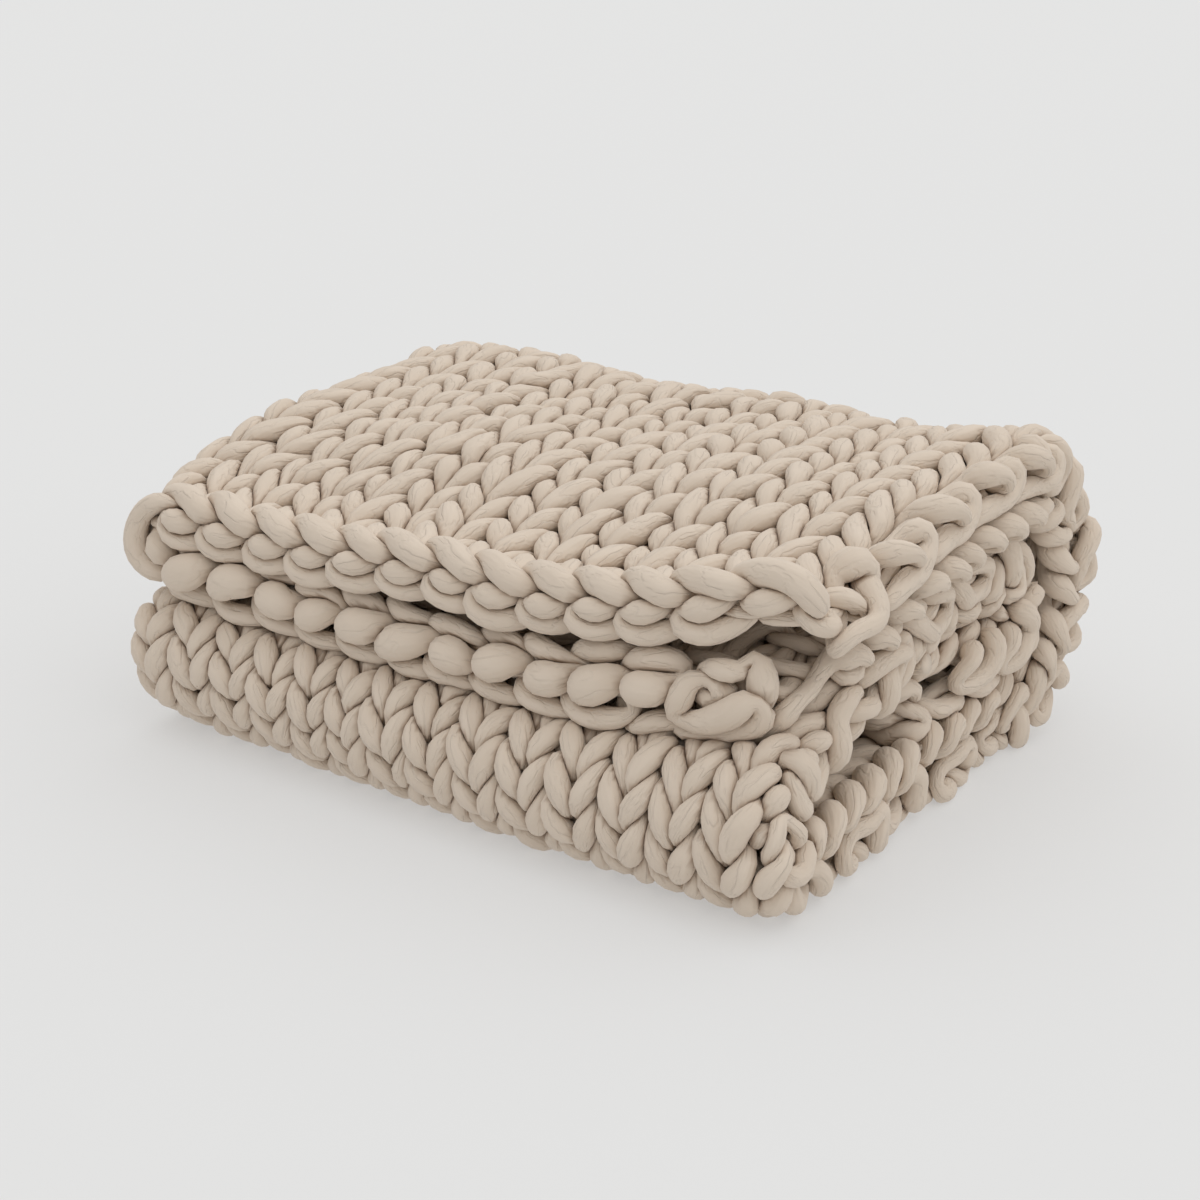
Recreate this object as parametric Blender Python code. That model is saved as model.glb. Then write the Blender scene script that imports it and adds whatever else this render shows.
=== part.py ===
"""A chunky hand-knit weighted blanket, folded for the shelf and lying flat.

The blanket is one knitted panel. It is folded in half across its width, so that it lies as
two plies joined by a round fold at the left (-X) and open at the right, where its two side
edges lie. The doubled cloth is then folded along its length: it starts at the front edge of
the top, runs to the back, turns down round the big back fold, comes forward on the floor,
turns up round the front fold, goes back inside the pile and is tucked under itself.

One closed body: a hairpin section (outer ply, fold, inner ply) carried along that path.
Metres, +Z up, +X along the long front, +Y to the back. The origin is on the floor, under the
middle of the blanket's box.
"""

import math

import bmesh
import bpy
import numpy as np

# Driving dimensions. Lengths are in columns of knitting until to_metres().
COLUMN = 0.041  # metres from the middle of one V of the knitting to the next
FOLDED_WIDTH = 14.7  # half of the panel's width
FOLDED_DEPTH = 11.4  # front fold to back fold
PLY = 0.62  # thickness of one ply in the pile
PLY_GAP = 0.10  # between the two plies
LAYER_GAP = 0.15  # between one doubled layer and the next
EDGE_PLY = 0.36  # how much thicker a ply is at its cast-on chain
EDGE_GAP = 0.30  # how much wider the plies stand apart there
EDGE_REACH = 1.5  # how far back from the cast-on edge this fades away
ROUNDING = 0.16  # how far a free edge bulges past its last full section

LAYER = 2 * PLY + PLY_GAP  # the doubled cloth
PITCH = LAYER + LAYER_GAP
FLOOR_RUN = LAYER / 2  # height of the middle of the layer that lies on the floor

# Each run of the doubled cloth, in the order in which the cloth goes. y and z are those of its
# middle; rise is the share of the run over which it climbs, left is how far its left fold is
# drawn in, and right is how far its open right-hand edges stand past the folded width.
RUNS = (
    # name, start_y, start_z, end_y, end_z, rise, left, right
    ("top", 1.05, 4.10, 8.90, FLOOR_RUN + 3 * PITCH, 0.60, 0.00, 0.00),
    ("floor", 8.90, FLOOR_RUN, 1.45, FLOOR_RUN, 1.00, 0.30, -0.05),
    ("flap", 1.45, FLOOR_RUN + PITCH, 8.00, FLOOR_RUN + 2 * PITCH, 0.55, 0.50, -0.30),
    ("tuck", 8.00, FLOOR_RUN + PITCH, 5.00, FLOOR_RUN + PITCH, 1.00, 0.60, -0.55),
)
# The folds that join one run to the next: how far each reaches past its runs' ends.
FOLDS = (
    # name, reach, left, right
    ("back", FOLDED_DEPTH - LAYER / 2 - 8.90, 0.10, 0.30),
    ("front", 1.45 - LAYER / 2, 0.60, 0.05),
    ("inner", 0.78, 0.55, -0.45),
)
# The pile's height at its corners, as a share of its height over the right-hand side.
CORNER_HEIGHTS = {"front_left": 0.85, "front_right": 1.0, "back_left": 0.96, "back_right": 1.0}
LEFT_SKEW = 0.6  # how far the left fold leans to the right at the back
LEFT_DEPTH = 0.04  # how much deeper the pile is at the left, as a share of its depth
LEFT_SETBACK = 0.4  # how far the front fold stands back at the left
FRONT_SAG = 0.055  # how much lower the pile is in the middle of its front, as a share
WAVE_HEIGHT = 0.012  # soft waves of the whole pile, as a share of its height
WAVE_LENGTH = 5.6
SIDE_WAVE = 0.09  # unevenness of the left fold and of the right-hand edges
SIDE_WAVE_LENGTH = 6.5

STEPS_RUN = 8
STEPS_FOLD = 8
STEPS_ACROSS = 9
STEPS_HAIRPIN = 6
YARN_COLOUR = "#CFC0B0"


def linear(hex_colour):
    """An sRGB hex colour as the linear RGBA that Blender's shaders take."""
    values = [int(hex_colour[i : i + 2], 16) / 255 for i in (1, 3, 5)]
    return [v / 12.92 if v <= 0.04045 else ((v + 0.055) / 1.055) ** 2.4 for v in values] + [1.0]


def smooth(share):
    """A soft step from 0 to 1."""
    share = min(max(share, 0.0), 1.0)
    return share * share * (3 - 2 * share)


def run_points(run):
    """Points (y, z, left, right) along the middle of one straight run."""
    _, start_y, start_z, end_y, end_z, rise, left, right = run
    points = []
    for step in range(STEPS_RUN + 1):
        share = step / STEPS_RUN
        height = start_z + (end_z - start_z) * smooth(share / rise)
        points.append((start_y + (end_y - start_y) * share, height, left, right))
    return points


def fold_points(before, after, fold):
    """Points round a fold, a half ellipse from the end of one run to the start of the next."""
    _, reach, left, right = fold
    _, from_y, from_z = before[0], before[3], before[4]
    to_y, to_z = after[1], after[2]
    outward = math.copysign(reach, before[3] - before[1])
    points = []
    for step in range(1, STEPS_FOLD):
        angle = math.pi * step / STEPS_FOLD
        across = (1 - math.cos(angle)) / 2
        y = from_y + (to_y - from_y) * across + outward * math.sin(angle)
        z = from_z + (to_z - from_z) * across
        points.append((y, z, left, right))
    return points


def path():
    """The middle line of the doubled cloth: its (y, z), tangent, outward normal, ends, length."""
    points = run_points(RUNS[0])
    for before, after, fold in zip(RUNS, RUNS[1:], FOLDS):
        points += fold_points(before, after, fold) + run_points(after)
    points = np.array(points)
    line = points[:, :2]
    ends = [np.convolve(np.pad(end, 2, "edge"), np.full(5, 0.2), "valid") for end in points[:, 2:].T]
    tangent = np.gradient(line, axis=0)
    tangent /= np.linalg.norm(tangent, axis=1)[:, None]
    normal = np.stack([-tangent[:, 1], tangent[:, 0]], axis=1)
    length = np.r_[0, np.cumsum(np.linalg.norm(np.diff(line, axis=0), axis=1))]
    return line, tangent, normal, ends, length


def hairpin(left, right, half_gap, ply, fullness):
    """The doubled cloth cut across: a closed ring of (x, height), outer wall then inner wall.

    Both walls have the same number of points, from the outer ply's free edge round the left
    fold to the inner ply's free edge. Two more points round the free edges off.
    """
    middle = half_gap + ply / 2
    bend = left + middle + ply / 2
    walls = []
    for radius in (middle + fullness * ply / 2, middle - fullness * ply / 2):
        flat = np.linspace(right, bend, STEPS_ACROSS + 1)
        turn = np.linspace(0, math.pi, STEPS_HAIRPIN + 1)[1:-1]
        xs = np.r_[flat, bend - radius * np.sin(turn), flat[::-1]]
        heights = np.r_[np.full(len(flat), radius), radius * np.cos(turn), np.full(len(flat), -radius)]
        walls.append(np.stack([xs, heights], axis=1))
    outer, inner = walls
    edge = right + ROUNDING
    return np.concatenate([outer, [[edge, -middle]], inner[::-1], [[edge, middle]]])


def settle(points):
    """Lets the pile lie as it does: lower at the left, with soft waves, flat on the floor."""
    x, y, z = points.T
    across, back = x / FOLDED_WIDTH, np.clip(y / FOLDED_DEPTH, 0, 1)
    c = CORNER_HEIGHTS
    front_height = c["front_left"] + (c["front_right"] - c["front_left"]) * across
    back_height = c["back_left"] + (c["back_right"] - c["back_left"]) * across
    height = front_height + (back_height - front_height) * back
    height -= FRONT_SAG * np.sin(math.pi * np.clip(across, 0, 1)) * (1 - back)
    wave = np.sin(2 * math.pi * (x + 0.4 * y) / WAVE_LENGTH)
    lean = LEFT_SKEW * (1 - across) * back
    setback = LEFT_SETBACK * (1 - across) * (1 - back) * np.clip(1 - z / RUNS[0][2], 0, 1)
    deeper = 1 + LEFT_DEPTH * (1 - across)
    return np.stack([x + lean, y * deeper + setback, z * (height + WAVE_HEIGHT * wave)], axis=1)


def blanket_mesh():
    """Vertices and faces of the folded blanket, in columns."""
    line, tangent, normal, (left, right), length = path()
    last = len(line) - 1
    rings = []
    for i in range(-1, last + 2):
        at = min(max(i, 0), last)
        past = ROUNDING * (i - at)
        fullness = 1.0 if i == at else 0.5
        edge = math.exp(-length[at] / EDGE_REACH)
        uneven = SIDE_WAVE * math.sin(2 * math.pi * length[at] / SIDE_WAVE_LENGTH)
        ring = hairpin(
            left=left[at] + uneven,
            right=FOLDED_WIDTH + right[at] - ROUNDING + uneven,
            half_gap=(PLY_GAP + EDGE_GAP * edge) / 2,
            ply=PLY + EDGE_PLY * edge,
            fullness=fullness,
        )
        yz = line[at] + tangent[at] * past + ring[:, 1:] * normal[at]
        rings.append(np.column_stack([ring[:, 0], yz]))
    count = len(rings[0])
    faces = []
    for ring in range(len(rings) - 1):
        for k in range(count):
            a, b = ring * count + k, ring * count + (k + 1) % count
            faces.append((a, b, b + count, a + count))
    wall = (count - 2) // 2
    for ring in (0, len(rings) - 1):
        first = ring * count
        for k in range(wall - 1):
            inner = first + count - 2 - k
            faces.append((first + k, first + k + 1, inner - 1, inner))
        faces.append((first + wall - 1, first + wall, first + wall + 1))
        faces.append((first, first + count - 2, first + count - 1))
    return settle(np.concatenate(rings)), faces


def to_metres(points):
    """Scales to metres, with the origin on the floor under the middle of the box."""
    points = points * COLUMN
    low, high = points.min(axis=0), points.max(axis=0)
    return points - [(low[0] + high[0]) / 2, (low[1] + high[1]) / 2, 0.0]


def yarn_material():
    """Soft matte cotton jersey tube yarn."""
    material = bpy.data.materials.new("cotton jersey tube yarn")
    material.use_nodes = True
    shader = material.node_tree.nodes["Principled BSDF"]
    shader.inputs["Base Color"].default_value = linear(YARN_COLOUR)
    shader.inputs["Roughness"].default_value = 0.9
    shader.inputs["Metallic"].default_value = 0.0
    return material


def build():
    for thing in list(bpy.data.objects):
        bpy.data.objects.remove(thing)
    points, faces = blanket_mesh()
    mesh = bpy.data.meshes.new("blanket")
    mesh.from_pydata(to_metres(points).tolist(), [], faces)
    shape = bmesh.new()
    shape.from_mesh(mesh)
    bmesh.ops.recalc_face_normals(shape, faces=shape.faces)
    shape.to_mesh(mesh)
    shape.free()
    mesh.shade_smooth()
    mesh.materials.append(yarn_material())
    bpy.context.scene.collection.objects.link(bpy.data.objects.new("blanket", mesh))


build()
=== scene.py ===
"""Looks of the folded chunky-knit weighted blanket.

The blanket is hand-knitted stocking stitch in one continuous jersey tube yarn. The yarn is laid
stitch by stitch over the folded cloth of the solid, then the soft tubes are let press against
each other, against the floor and against the plies next to them.
"""

import itertools
import math

import bpy
import numpy as np
from mathutils import Matrix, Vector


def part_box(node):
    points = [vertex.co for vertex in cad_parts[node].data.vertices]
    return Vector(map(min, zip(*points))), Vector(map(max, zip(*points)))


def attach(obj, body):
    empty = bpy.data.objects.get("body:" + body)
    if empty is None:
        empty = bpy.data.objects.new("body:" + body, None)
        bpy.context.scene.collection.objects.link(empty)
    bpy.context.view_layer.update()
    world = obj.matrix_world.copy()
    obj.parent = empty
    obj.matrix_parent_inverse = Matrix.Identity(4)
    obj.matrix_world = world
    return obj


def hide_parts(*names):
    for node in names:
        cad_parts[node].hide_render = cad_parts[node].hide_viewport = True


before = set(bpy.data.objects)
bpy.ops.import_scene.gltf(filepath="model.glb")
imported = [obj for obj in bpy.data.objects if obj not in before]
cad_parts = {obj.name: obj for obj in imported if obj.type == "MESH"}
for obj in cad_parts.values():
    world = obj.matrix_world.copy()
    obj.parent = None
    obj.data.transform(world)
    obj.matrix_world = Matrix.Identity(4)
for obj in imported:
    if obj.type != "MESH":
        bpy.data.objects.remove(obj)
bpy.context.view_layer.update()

# ---------------------------------------------------------------- the folded cloth, in columns
COLUMN = 0.041  # metres from the middle of one V of the knitting to the next
FOLDED_WIDTH = 14.7  # half of the panel's width
FOLDED_DEPTH = 11.4  # front fold to back fold
PLY = 0.62  # thickness of one ply in the pile
PLY_GAP = 0.10  # between the two plies
LAYER_GAP = 0.15  # between one doubled layer and the next
EDGE_PLY = 0.36  # how much thicker a ply is at its cast-on chain
EDGE_GAP = 0.55  # how much wider the plies stand apart there
EDGE_REACH = 1.5  # how far back from the cast-on edge this fades away
EDGE_TUCK = 0.34  # how much tighter the left fold is at the cast-on edge
# Swells of the cloth: how much, about which length from the cast-on edge, and over what length.
LEFT_BULGE = (0.40, 2.0, 1.3)  # behind its tight front edge the left fold is slack
LEFT_DRAW = (0.16, 5.2, 1.5)  # and then drawn in again
TOP_DRAW = (0.35, 8.6, 1.7)  # the side edges are drawn in where the top turns down
BACK_DRAW = (0.26, 14.5, 1.8)  # and where the back fold meets the floor
BACK_DRAW_START, BACK_DRAW_END = 12.0, 14.5  # from nothing to full between these lengths
FLAP_HUMP = (0.26, 24.6, 1.6)  # the flap is lifted over the front fold
FLAP_HUMP_START, FLAP_HUMP_END = 7, 13  # from nothing to full between these columns
WRAP_LIFT = 0.40  # the inner ply's cast-on edge is lifted where it comes out of the left fold
WRAP_COLUMNS = (13.8, 15.2, 16.0, 21.0)  # where the lift starts, is full, eases off and ends
CORNER_REACH = 1.6  # the front right corner of the top is drawn back and up, this far across
CORNER_ALONG = 2.0  # and this far along the cloth
CORNER_BACK = 0.35
CORNER_LIFT = 0.42
CORNER_DRAW = 0.45  # and its inner ply inwards
LAYER = 2 * PLY + PLY_GAP
PITCH = LAYER + LAYER_GAP
FLOOR_RUN = LAYER / 2  # height of the middle of the layer that lies on the floor
CAST_ON, CAST_ON_HEIGHT = 1.05, 4.10  # where the middle of the cast-on edge lies
BACK_BEND = 8.90  # where the cloth starts to turn round the back fold
FRONT_BEND = 1.45  # round the front fold
INNER_BEND = 8.00  # and round the last one
TUCK_END = 5.00
# The flat runs of the doubled cloth and the folds between them, from its cast-on edge on. A run
# changes its height within the share rise of its way. left and right are how far its left fold
# and its right-hand edges stand further to the right than those of the top.
RUNS = (
    # name, start_y, start_z, end_y, end_z, rise, left, right
    ("top", CAST_ON, CAST_ON_HEIGHT, BACK_BEND, FLOOR_RUN + 3 * PITCH, 0.60, 0.00, 0.00),
    ("floor", BACK_BEND, FLOOR_RUN, FRONT_BEND, FLOOR_RUN, 1.00, 0.30, -0.05),
    ("flap", FRONT_BEND, FLOOR_RUN + PITCH, INNER_BEND, FLOOR_RUN + 2 * PITCH, 0.55, 0.40, -0.22),
    ("tuck", INNER_BEND, FLOOR_RUN + PITCH, TUCK_END, FLOOR_RUN + PITCH, 1.00, 0.60, -0.10),
)
FOLDS = (
    # name, reach, left, right
    ("back", FOLDED_DEPTH - LAYER / 2 - BACK_BEND, 0.10, 0.30),
    ("front", FRONT_BEND - LAYER / 2, 0.48, 0.05),
    ("inner", 0.78, 0.55, 0.15),
)
CORNER_HEIGHTS = {"front_left": 0.85, "front_right": 1.0, "back_left": 0.96, "back_right": 1.0}
LEFT_SKEW = 0.6  # how far the left fold leans to the right at the back
LEFT_DEPTH = 0.04  # how much deeper the pile is at the left, as a share of its depth
LEFT_SETBACK = 0.4  # how far the front fold stands back at the left
FRONT_BOW = 0.36  # the front fold runs back on the left and stands forward on the right
BOW_TURN = 1.1  # in half waves
FRONT_SAG = 0.055  # how much lower the pile is in the middle of its front, as a share
BACK_SAG = 0.03
WAVE_HEIGHT = 0.012  # soft waves of the whole pile, as a share of its height
WAVE_LENGTH = 5.6
WAVE_SLANT = 0.4
SIDE_WAVE = 0.09  # unevenness of the left fold and of the right-hand edges
SIDE_WAVE_LENGTH = 6.5

# ---------------------------------------------------------------- the knitting, in columns
COLUMNS = 28
SELVEDGE = 0.50  # from the cloth's free edge to the first column
ROWS = (
    # run or fold, rows of the outer ply on it, rows of the inner ply on it
    ("top", 10.0, 10.6),
    ("back", 10.4, 7.6),
    ("floor", 8.4, 10.4),
    ("front", 5.6, 3.4),
    ("flap", 7.4, 9.4),
    ("inner", 4.4, 3.0),
    ("tuck", 2.6, 4.4),
)
BLEND = 7  # from the left fold on, the outer ply's rows turn into the inner's over these columns
FIRST_ROW = 1.06  # rows between the cast-on edge and the middle of the first row
ROW_COUNT = 47
LOOP_HEIGHT = 1.10  # half height of a loop, in rows
LOOP_SWELL = 0.34  # how far a loop opens out at its head
FRONT_EASE = 0.22  # how much less it does so where the cloth is bent round the front fold
FRONT_DRAW = 0.12  # and how much thinner the yarn is drawn there
FRONT_ROW, FRONT_ROWS = 30.5, 4.0  # the middle of the bent rows, and how far they go
LOOP_DEPTH = 0.17  # how far legs stand in front of heads, halved
LOOP_FLATNESS = 4  # how long a leg stays in front before it dives behind its neighbours
YARN = 0.20  # radius of the resting tube
TIGHT_YARN = 0.150  # and where it is drawn tight, in heads and feet
LEG_SWELL = 0.115  # a leg's middle is that much thicker
EDGE_SLACK = 0.40  # the outermost column is that much looser and stands out
SLACK_REACH = 0.9  # and the next ones less, over this much
HELD_SLACK = 0.2  # where the side edge is held, that share of it is left
OUTER_SLACK_ROWS, INNER_SLACK_ROWS = 9, 15  # the side edges hang free over the first rows
FLOOR_ROWS = (18, 27)  # and the inner ply's on the floor run too
TIGHT_EDGE = 0.55  # how far the side edges' loops stand out on the others
TURN_NARROW = 0.25  # how much of their length they lose there
TURN_SWELL = 0.2  # and how much thicker the yarn gets
TURN_UNEVEN = (0.35, 0.25, 0.12)  # how uneven they are: outwards, in rows, in height
FLOOR_SLANT = 1.5  # how they slant on the floor run
EDGE_DROP = 0.22  # the inner ply's free edge hangs a little lower on the top
DROP_REACH = 2.5  # over these columns
DROP_LENGTH = 9  # and over this length of the cloth
WAVERS = (
    # how far the loops stray sideways, and how that changes from row to row and along a row
    (0.10, 0.5, 0.7, 0.0),
    (0.07, 1.1, -0.45, 1.3),
)
FACE = 0.37  # how far the knit side stands off the middle of its ply, pressed even
SIDES = 14  # corners of the tube's section
SEED = 7

rng = np.random.default_rng(SEED)


def soft_step(share):
    """Eases from nought to one."""
    share = np.clip(share, 0, 1)
    return share * share * (3 - 2 * share)


def swell(place, shape):
    """A soft hump of the given size about its middle, which fades away over its reach."""
    size, middle, reach = shape
    return size * np.exp(-(((place - middle) / reach) ** 2))


def blur(values, width):
    """Values smoothed along their first axis over about that many samples."""
    reach = int(3 * width) + 1
    kernel = np.exp(-0.5 * (np.arange(-reach, reach + 1) / width) ** 2)
    kernel /= kernel.sum()
    values = np.asarray(values, float)
    flat = values.reshape(len(values), -1)
    out = [np.convolve(np.pad(c, reach, "edge"), kernel, "valid") for c in flat.T]
    return np.stack(out, axis=1).reshape(values.shape)


def cloth_line(steps=60):
    """The middle of the doubled cloth from its cast-on edge to its tucked end."""
    share = np.arange(steps + 1) / steps
    line, ends, marks = [], [], []
    for number, (_, y0, z0, y1, z1, rise, left, right) in enumerate(RUNS):
        z = z0 + (z1 - z0) * soft_step(share / rise)
        line.append(np.stack([y0 + (y1 - y0) * share, z], axis=1))
        ends.append(np.tile([left, right], (steps + 1, 1)))
        marks.append(sum(map(len, line)) - 1)
        if number < len(FOLDS):
            _, reach, left, right = FOLDS[number]
            to_y, to_z = RUNS[number + 1][1:3]
            angle = math.pi * share[1:-1]
            across = (1 - np.cos(angle)) / 2
            y = y1 + (to_y - y1) * across + math.copysign(reach, y1 - y0) * np.sin(angle)
            line.append(np.stack([y, z1 + (to_z - z1) * across], axis=1))
            ends.append(np.tile([left, right], (len(angle), 1)))
            marks.append(sum(map(len, line)))
    line, ends = np.concatenate(line), np.concatenate(ends)
    length = np.r_[0, np.cumsum(np.linalg.norm(np.diff(line, axis=0), axis=1))]
    even = np.linspace(0, length[-1], 800)
    table = np.stack([np.interp(even, length, c) for c in (*line.T, *ends.T)], axis=1)
    table[:, 2:] = blur(table[:, 2:], 25)
    tangent = np.gradient(table[:, :2], axis=0)
    tangent = blur(tangent / np.linalg.norm(tangent, axis=1)[:, None], 3)
    tangent /= np.linalg.norm(tangent, axis=1)[:, None]
    return even, table, tangent, length[marks]


LENGTH, LINE, TANGENT, MARKS = cloth_line()
ROW_MARKS = np.array([[0.0, 0.0], *np.cumsum([r[1:] for r in ROWS], axis=0)]) - FIRST_ROW
LENGTH_MARKS = np.r_[0.0, MARKS]


def row_to_length(row, across):
    """How far along the cloth a row lies, for the outer and the inner ply and round their fold."""
    outer = np.interp(row, ROW_MARKS[:, 0], LENGTH_MARKS)
    inner = np.interp(row, ROW_MARKS[:, 1], LENGTH_MARKS)
    for side, marks in ((outer, ROW_MARKS[:, 0]), (inner, ROW_MARKS[:, 1])):
        before = row < marks[0]
        slope = (LENGTH_MARKS[1] - LENGTH_MARKS[0]) / (marks[1] - marks[0])
        side[before] = (row[before] - marks[0]) * slope
        after = row > marks[-1]
        side[after] = LENGTH_MARKS[-1] + (row[after] - marks[-1]) * slope
    share = soft_step((across - COLUMNS / 2 + 1) / BLEND)
    return outer * (1 - share) + inner * share


def settle(points):
    """The pile as it has settled: its corners, sags, leans and waves."""
    x, y, z = points.T
    across, back = x / FOLDED_WIDTH, np.clip(y / FOLDED_DEPTH, 0, 1)
    c = CORNER_HEIGHTS
    front_height = c["front_left"] + (c["front_right"] - c["front_left"]) * across
    back_height = c["back_left"] + (c["back_right"] - c["back_left"]) * across
    height = front_height + (back_height - front_height) * back
    height -= (FRONT_SAG * (1 - back) + BACK_SAG * back) * np.sin(math.pi * np.clip(across, 0, 1))
    wave = np.sin(2 * math.pi * (x + WAVE_SLANT * y) / WAVE_LENGTH)
    lean = LEFT_SKEW * (1 - across) * back
    setback = LEFT_SETBACK * (1 - across) + FRONT_BOW * np.cos(BOW_TURN * math.pi * across)
    setback = setback * (1 - back) * np.clip(1 - z / RUNS[0][2], 0, 1)
    deeper = 1 + LEFT_DEPTH * (1 - across)
    return np.stack([x + lean, y * deeper + setback, z * (height + WAVE_HEIGHT * wave)], axis=1)


def lay(across, along, out):
    """Panel places (columns from the outer ply's side edge, length from the cast-on edge,
    height off the cloth towards its knit side) to places in the folded pile."""
    at = np.clip(along, 0, LENGTH[-1])
    y, z, left, right = (np.interp(at, LENGTH, c) for c in LINE.T)
    ty, tz = (np.interp(at, LENGTH, c) for c in TANGENT.T)
    edge = np.exp(-at / EDGE_REACH)
    uneven = SIDE_WAVE * np.sin(2 * math.pi * at / SIDE_WAVE_LENGTH)
    left, right = left + uneven + EDGE_TUCK * edge, FOLDED_WIDTH + right + uneven
    left = left - swell(at, LEFT_BULGE) + swell(at, LEFT_DRAW)
    lower = soft_step((at - BACK_DRAW_START) / (BACK_DRAW_END - BACK_DRAW_START))
    right = right - swell(at, TOP_DRAW) - lower * swell(at, BACK_DRAW)
    ply = PLY + EDGE_PLY * edge
    middle = (PLY_GAP + EDGE_GAP * edge) / 2 + ply / 2
    bend = left + middle + ply / 2
    flat, turn = right - bend, math.pi * middle
    path = SELVEDGE + across * (2 * flat + turn - 2 * SELVEDGE) / COLUMNS
    angle = np.clip((path - flat) / middle, 0, math.pi)
    radius = middle + out
    x = bend - radius * np.sin(angle)
    x += np.maximum(flat - path, 0) + np.maximum(path - flat - turn, 0)
    height = radius * np.cos(angle)
    free = soft_step((across - COLUMNS + DROP_REACH) / DROP_REACH)
    height -= EDGE_DROP * free * np.exp(-((at / DROP_LENGTH) ** 6))
    past = along - at
    from_side = np.minimum(across, COLUMNS - across)
    corner = np.exp(-((from_side / CORNER_REACH) ** 2) - at / CORNER_ALONG)
    x -= CORNER_DRAW * corner * (across > COLUMNS / 2)
    y = y + ty * past - tz * height + CORNER_BACK * corner
    starts, full, eases, ends = WRAP_COLUMNS
    wrap = soft_step((across - starts) / (full - starts)) * edge
    wrap = wrap * (1 - soft_step((across - eases) / (ends - eases)))
    hump = soft_step((across - FLAP_HUMP_START) / (FLAP_HUMP_END - FLAP_HUMP_START))
    hump = hump * swell(at, FLAP_HUMP)
    z = z + tz * past + ty * height + CORNER_LIFT * corner + WRAP_LIFT * wrap + hump
    return settle(np.stack([x, y, z], axis=1))


# ---------------------------------------------------------------- the yarn's way
def row_of_loops(row, steps=48):
    """One row of stocking stitch from the outer ply's side edge to the inner ply's."""
    t = 2 * math.pi * np.arange(COLUMNS * steps + 1) / steps
    front = swell(row, (1.0, FRONT_ROW, FRONT_ROWS))
    across = t / (2 * math.pi) + LOOP_SWELL * (1 - FRONT_EASE * front) * np.sin(2 * t)
    for inner in (False, True):
        slack = EDGE_SLACK if slack_edge(row, inner) else HELD_SLACK * EDGE_SLACK
        side = COLUMNS - across if inner else across
        across = across + (1 if inner else -1) * swell(side, (slack, 0.0, SLACK_REACH))
    rows = row - LOOP_HEIGHT * np.cos(t)
    out = LOOP_DEPTH * (1 - 2 * np.abs(np.cos(t)) ** LOOP_FLATNESS)
    waver = sum(size * np.sin(by_row * row + by_column * across + start)
                for size, by_row, by_column, start in WAVERS)
    radius = (TIGHT_YARN + LEG_SWELL * np.sin(t) ** 4) * (1 - FRONT_DRAW * front)
    loops = np.stack([across + waver, row_to_length(rows, across), out, radius], axis=1)
    half = steps // 2
    if slack_edge(row, False):
        loops = np.concatenate([edge_leg(row, False), loops[half + 1 :]])
    if slack_edge(row, True):
        loops = np.concatenate([loops[: -half - 1], edge_leg(row, True)[::-1]])
    return loops


# The outermost leg of a row, from its foot to the row's first head. On the outer ply's edge the
# legs take turns: one lies flat and points outward, and the next goes over the edge and runs
# back under it, as part of a cord.
FLAT_LEG = (
    # outward, rows on, up, radius
    (0.00, -1.10, -0.17, 0.14),
    (-0.16, -0.35, -0.12, 0.14),
    (-0.04, 0.20, 0.02, 0.17),
    (0.14, 0.32, 0.15, 0.22),
    (0.36, 0.46, 0.19, 0.235),
    (0.54, 0.66, 0.13, 0.19),
    (0.64, 0.86, 0.02, 0.13),
    (0.60, 0.98, -0.20, 0.12),
    (0.25, 1.08, -0.28, 0.13),
    (-0.12, 1.10, -0.22, 0.14),
)
BENT_LEG = (
    (0.00, -1.10, -0.17, 0.14),
    (0.00, -0.50, -0.16, 0.15),
    (0.10, 0.20, -0.06, 0.17),
    (0.22, 0.46, 0.03, 0.21),
    (0.34, 0.66, 0.05, 0.24),
    (0.43, 0.74, -0.05, 0.23),
    (0.47, 0.66, -0.22, 0.20),
    (0.47, 0.40, -0.35, 0.20),
    (0.44, -0.15, -0.40, 0.21),
    (0.42, -0.90, -0.42, 0.20),
    (0.34, -1.45, -0.42, 0.15),
    (0.10, -1.25, -0.36, 0.14),
    (-0.02, -0.40, -0.28, 0.18),
    (-0.10, 0.40, -0.28, 0.16),
    (-0.20, 0.95, -0.28, 0.14),
)
# By the corner the first two legs are moved and made thinner or broader, and the first turn and
# the second leg's way back, as part of the cord, are drawn down.
CORNER_LEGS = {0: ((-0.34, 0.05, -0.20, 0.0), 0.8), 1: ((-0.50, -0.05, 0.22, 0.0), 1.35)}
CORNER_TURN = (0.06, 0.30, 0.04, -0.05)
CORNER_CORD = (
    (0.04, 0.00, 0.00, -0.03),
    (0.04, 0.00, -0.02, -0.03),
    (0.06, 0.00, -0.26, 0.00),
    (0.10, 0.00, -0.46, 0.00),
)
EDGE_TURN = (
    (0.00, -1.10, -0.17, 0.14),
    (0.10, -0.85, -0.36, 0.22),
    (0.10, -0.35, -0.36, 0.22),
    (0.00, -0.10, -0.17, 0.14),
)
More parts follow.
